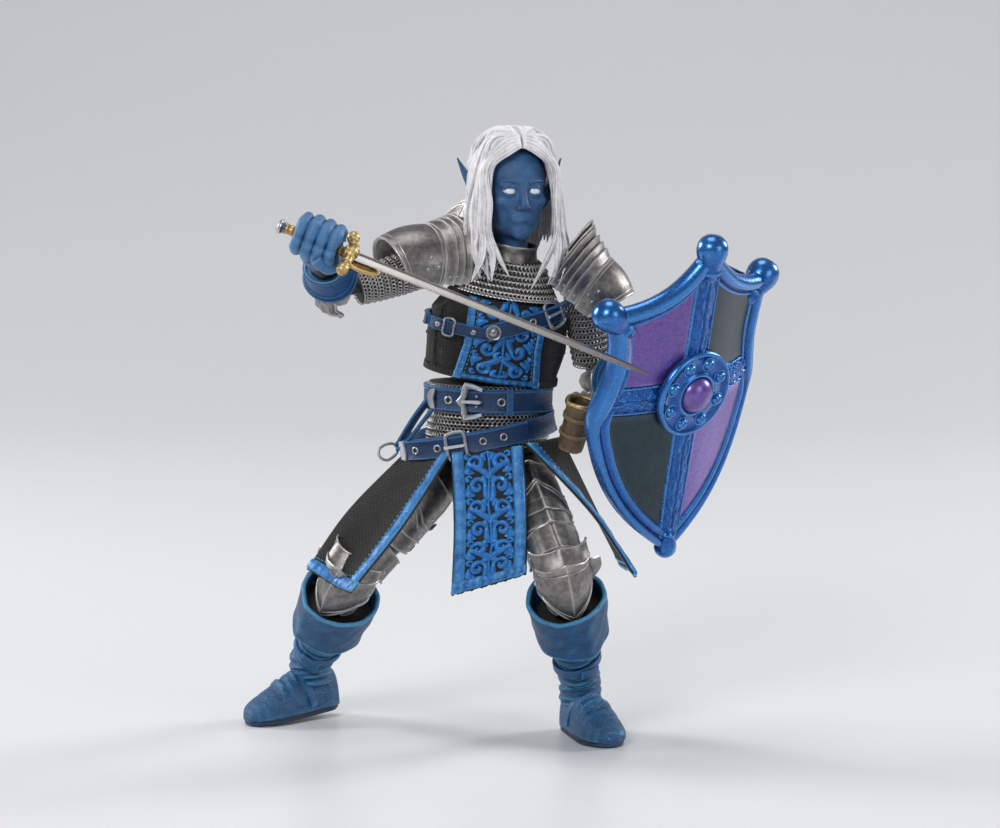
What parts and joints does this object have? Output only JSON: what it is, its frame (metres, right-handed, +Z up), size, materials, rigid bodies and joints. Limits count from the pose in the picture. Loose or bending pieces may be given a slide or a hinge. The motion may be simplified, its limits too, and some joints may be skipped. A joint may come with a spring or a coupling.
{
  "type": "action figure",
  "caption": "Poseable fantasy knight action figure with long hair, plate armour, tabard and belts, holding a straight sword and a curved kite shield.",
  "frame": {"origin": "middle of the posed figure's box, on the surface that it stands on", "axes": "+Z up, the longest extent; the figure faces -Y, its sword hand towards -X and its shield towards +X"},
  "size_m": [0.1314, 0.076, 0.1495],
  "materials": {
    "mail": "dark gunmetal paint dry-brushed over moulded mail rings",
    "leather": "blue leather-grained satin paint",
    "trim": "bright blue relief over black wash",
    "cloth": "charcoal cloth-textured matt paint",
    "tan_hide": "tan leather paint with a dry-brushed rim",
    "steel": "pewter metallic paint with black wash",
    "blade": "bright silver metallic paint",
    "joint": "dark moulded joint plastic",
    "skin": "matt blue skin paint",
    "hair": "matt white paint with grey wash",
    "gold": "antique gold metallic paint",
    "shield_blue": "metallic blue paint, glossy",
    "shield_panel": "pearl violet and dark teal quarters"
  },
  "bodies": {
    "pelvis": {"pelvis_block": "mail", "mail_skirt": "mail", "waist_belt": "leather", "hip_belt": "leather", "scabbard_loop": "tan_hide", "sword_hanger": "leather"},
    "front_tabard": {"front_tabard": "trim"},
    "back_tabard": {"back_tabard": "cloth"},
    "skirt_right": {"skirt_right": "cloth"},
    "skirt_left": {"skirt_left": "cloth"},
    "waist_link": {"waist_link": "joint"},
    "torso": {"chest": "cloth", "surcoat_panel": "trim", "mail_collar": "mail", "gorget": "steel", "chest_strap": "leather"},
    "neck_link": {"neck_link": "skin"},
    "head": {"head": "skin", "hair": "hair"},
    "shoulder_link_r": {"shoulder_link_r": "joint"},
    "upper_arm_r": {"upper_arm_r": "mail"},
    "pauldron_r": {"pauldron_r": "steel"},
    "elbow_link_r": {"elbow_link_r": "joint"},
    "forearm_r": {"forearm_r": "steel", "couter_r": "steel", "gauntlet_cuff_r": "leather"},
    "wrist_link_r": {"wrist_link_r": "joint"},
    "hand_r": {"hand_r": "leather"},
    "hip_link_r": {"hip_link_r": "joint"},
    "thigh_r": {"thigh_r": "steel"},
    "knee_link_r": {"knee_link_r": "joint", "poleyn_r": "steel"},
    "shin_r": {"shin_r": "leather"},
    "ankle_link_r": {"ankle_link_r": "joint"},
    "foot_r": {"foot_r": "leather"},
    "shoulder_link_l": {"shoulder_link_l": "joint"},
    "upper_arm_l": {"upper_arm_l": "mail"},
    "pauldron_l": {"pauldron_l": "steel"},
    "elbow_link_l": {"elbow_link_l": "joint"},
    "forearm_l": {"forearm_l": "steel", "couter_l": "steel", "gauntlet_cuff_l": "leather"},
    "wrist_link_l": {"wrist_link_l": "joint"},
    "hand_l": {"hand_l": "leather"},
    "hip_link_l": {"hip_link_l": "joint"},
    "thigh_l": {"thigh_l": "steel"},
    "knee_link_l": {"knee_link_l": "joint", "poleyn_l": "steel"},
    "shin_l": {"shin_l": "leather"},
    "ankle_link_l": {"ankle_link_l": "joint"},
    "foot_l": {"foot_l": "leather"},
    "sword": {"sword_blade": "blade", "sword_hilt": "gold"},
    "shield": {"shield_plate": "shield_panel", "shield_rim": "shield_blue", "shield_boss": "shield_blue", "shield_handle": "shield_blue"}
  },
  "joints": [
    {"name": "waist_bend", "type": "hinge", "parent": "pelvis", "child": "waist_link", "pos_m": [-0.00492, 0.01754, 0.08282], "axis": [-0.9787, -0.1353, 0.1543], "range_deg": [-6, 6]},
    {"name": "waist_turn", "type": "hinge", "parent": "waist_link", "child": "torso", "pos_m": [-0.00492, 0.01754, 0.08282], "axis": [-0.166, 0.0803, -0.9828], "range_deg": [-15, 6]},
    {"name": "neck_nod", "type": "hinge", "parent": "torso", "child": "neck_link", "pos_m": [0.00128, 0.01454, 0.11952], "axis": [0.9904, 0.1366, -0.0198], "range_deg": [-12, 12]},
    {"name": "neck_turn", "type": "hinge", "parent": "neck_link", "child": "head", "pos_m": [0.00128, 0.01454, 0.11952], "axis": [-0.02, 0, -0.9998], "range_deg": [-15, 30]},
    {"name": "front_tabard_lift", "type": "hinge", "parent": "pelvis", "child": "front_tabard", "pos_m": [-0.00402, 0.00194, 0.06872], "axis": [-0.9957, -0.0878, 0.0299], "range_deg": [0, 30]},
    {"name": "back_tabard_lift", "type": "hinge", "parent": "pelvis", "child": "back_tabard", "pos_m": [-0.00422, 0.03254, 0.06892], "axis": [-0.9957, -0.0878, 0.0299], "range_deg": [-30, 0]},
    {"name": "skirt_right_lift", "type": "hinge", "parent": "pelvis", "child": "skirt_right", "pos_m": [-0.02032, 0.00714, 0.06712], "axis": [-0.6832, 0.7288, 0.0455], "range_deg": [-15, 15]},
    {"name": "skirt_left_lift", "type": "hinge", "parent": "pelvis", "child": "skirt_left", "pos_m": [0.01098, 0.00704, 0.06972], "axis": [0.6266, 0.7794, 0], "range_deg": [-10, 0]},
    {"name": "shoulder_swing_r", "type": "hinge", "parent": "torso", "child": "shoulder_link_r", "pos_m": [-0.01853, 0.01256, 0.11524], "axis": [-0.9787, -0.1353, 0.1543], "range_deg": [-40, 30]},
    {"name": "shoulder_raise_r", "type": "hinge", "parent": "shoulder_link_r", "child": "upper_arm_r", "pos_m": [-0.01853, 0.01256, 0.11524], "axis": [0.1994, -0.8046, 0.5593], "range_deg": [-25, 5]},
    {"name": "pauldron_lift_r", "type": "hinge", "parent": "shoulder_link_r", "child": "pauldron_r", "pos_m": [-0.01853, 0.01256, 0.11524], "axis": [-0.1994, 0.8046, -0.5593], "range_deg": [-5, 15]},
    {"name": "upper_arm_turn_r", "type": "hinge", "parent": "upper_arm_r", "child": "elbow_link_r", "pos_m": [-0.04069, 0.00277, 0.10905], "axis": [0.8863, 0.3916, 0.2473], "range_deg": [-45, 20]},
    {"name": "elbow_bend_r", "type": "hinge", "parent": "elbow_link_r", "child": "forearm_r", "pos_m": [-0.04069, 0.00277, 0.10905], "axis": [-0.4239, 0.4705, 0.7739], "range_deg": [-65, 10]},
    {"name": "forearm_turn_r", "type": "hinge", "parent": "forearm_r", "child": "wrist_link_r", "pos_m": [-0.04435, -0.0192, 0.12041], "axis": [0.1465, 0.8788, -0.4541], "range_deg": [-5, 60]},
    {"name": "wrist_bend_r", "type": "hinge", "parent": "wrist_link_r", "child": "hand_r", "pos_m": [-0.04435, -0.0192, 0.12041], "axis": [0.9134, -0.2963, -0.2789], "range_deg": [-30, 30]},
    {"name": "hip_swing_r", "type": "hinge", "parent": "pelvis", "child": "hip_link_r", "pos_m": [-0.01388, 0.01677, 0.06558], "axis": [-0.9957, -0.0878, 0.0299], "range_deg": [-20, 15]},
    {"name": "hip_spread_r", "type": "hinge", "parent": "hip_link_r", "child": "thigh_r", "pos_m": [-0.01388, 0.01677, 0.06558], "axis": [0.0927, -0.9319, 0.3508], "range_deg": [0, 25]},
    {"name": "thigh_turn_r", "type": "hinge", "parent": "thigh_r", "child": "knee_link_r", "pos_m": [-0.03883, 0.0043, 0.03904], "axis": [-0.6479, -0.324, -0.6894], "range_deg": [-40, 5]},
    {"name": "knee_bend_r", "type": "hinge", "parent": "knee_link_r", "child": "shin_r", "pos_m": [-0.03883, 0.0043, 0.03904], "axis": [0.7612, -0.3086, -0.5704], "range_deg": [-45, 36]},
    {"name": "shin_turn_r", "type": "hinge", "parent": "shin_r", "child": "ankle_link_r", "pos_m": [-0.04989, 0.026, 0.01254], "axis": [0.3073, -0.6029, 0.7363], "range_deg": [-40, 40]},
    {"name": "ankle_bend_r", "type": "hinge", "parent": "ankle_link_r", "child": "foot_r", "pos_m": [-0.04989, 0.026, 0.01254], "axis": [-0.4954, 0.5593, 0.6647], "range_deg": [-30, 25]},
    {"name": "shoulder_swing_l", "type": "hinge", "parent": "torso", "child": "shoulder_link_l", "pos_m": [0.01866, 0.0177, 0.10938], "axis": [-0.9787, -0.1353, 0.1543], "range_deg": [-10, 20]},
    {"name": "shoulder_raise_l", "type": "hinge", "parent": "shoulder_link_l", "child": "upper_arm_l", "pos_m": [0.01866, 0.0177, 0.10938], "axis": [0.0936, -0.9634, -0.2512], "range_deg": [-5, 40]},
    {"name": "pauldron_lift_l", "type": "hinge", "parent": "shoulder_link_l", "child": "pauldron_l", "pos_m": [0.01866, 0.0177, 0.10938], "axis": [-0.0936, 0.9634, 0.2512], "range_deg": [-20, 5]},
    {"name": "upper_arm_turn_l", "type": "hinge", "parent": "upper_arm_l", "child": "elbow_link_l", "pos_m": [0.02116, 0.0242, 0.08536], "axis": [0.1, 0.2601, -0.9604], "range_deg": [-45, 10]},
    {"name": "elbow_bend_l", "type": "hinge", "parent": "elbow_link_l", "child": "forearm_l", "pos_m": [0.02116, 0.0242, 0.08536], "axis": [0.8277, 0.5139, 0.2254], "range_deg": [-5, 10]},
    {"name": "forearm_turn_l", "type": "hinge", "parent": "forearm_l", "child": "wrist_link_l", "pos_m": [0.0337, 0.00276, 0.0882], "axis": [0.5016, -0.8576, 0.1133], "range_deg": [-10, 10]},
    {"name": "wrist_bend_l", "type": "hinge", "parent": "wrist_link_l", "child": "hand_l", "pos_m": [0.0337, 0.00276, 0.0882], "axis": [0.8423, 0.5141, 0.162], "range_deg": [-30, 15]},
    {"name": "hip_swing_l", "type": "hinge", "parent": "pelvis", "child": "hip_link_l", "pos_m": [0.00364, 0.01831, 0.06506], "axis": [-0.9957, -0.0878, 0.0299], "range_deg": [-30, 10]},
    {"name": "hip_spread_l", "type": "hinge", "parent": "hip_link_l", "child": "thigh_l", "pos_m": [0.00364, 0.01831, 0.06506], "axis": [-0.0767, 0.5984, -0.7975], "range_deg": [-10, 0]},
    {"name": "thigh_turn_l", "type": "hinge", "parent": "thigh_l", "child": "knee_link_l", "pos_m": [0.01342, -0.01102, 0.04211], "axis": [-0.2539, 0.7618, 0.596], "range_deg": [-40, 30]},
    {"name": "knee_bend_l", "type": "hinge", "parent": "knee_link_l", "child": "shin_l", "pos_m": [0.01342, -0.01102, 0.04211], "axis": [0.9623, 0.1371, 0.2348], "range_deg": [-60, 16]},
    {"name": "shin_turn_l", "type": "hinge", "parent": "shin_l", "child": "ankle_link_l", "pos_m": [0.01843, 0.00674, 0.0112], "axis": [-0.1392, -0.4932, 0.8587], "range_deg": [-40, 40]},
    {"name": "ankle_bend_l", "type": "hinge", "parent": "ankle_link_l", "child": "foot_l", "pos_m": [0.01843, 0.00674, 0.0112], "axis": [-0.9305, -0.2315, -0.2839], "range_deg": [-30, 30]},
    {"name": "sword_turn", "type": "hinge", "parent": "hand_r", "child": "sword", "pos_m": [-0.04408, -0.02748, 0.12394], "axis": [0.9246, -0.1229, -0.3606], "range_deg": [-90, 90]},
    {"name": "shield_turn", "type": "hinge", "parent": "hand_l", "child": "shield", "pos_m": [0.0391, -0.00433, 0.08939], "axis": [-0.7748, -0.6149, -0.147], "range_deg": [-20, 35]}
  ],
  "couplings": [
    {"joint": "pauldron_lift_r", "follows": "shoulder_raise_r", "ratio": -0.5},
    {"joint": "pauldron_lift_l", "follows": "shoulder_raise_l", "ratio": -0.5},
    {"joint": "skirt_right_lift", "follows": "hip_swing_r", "ratio": 0.7}
  ]
}
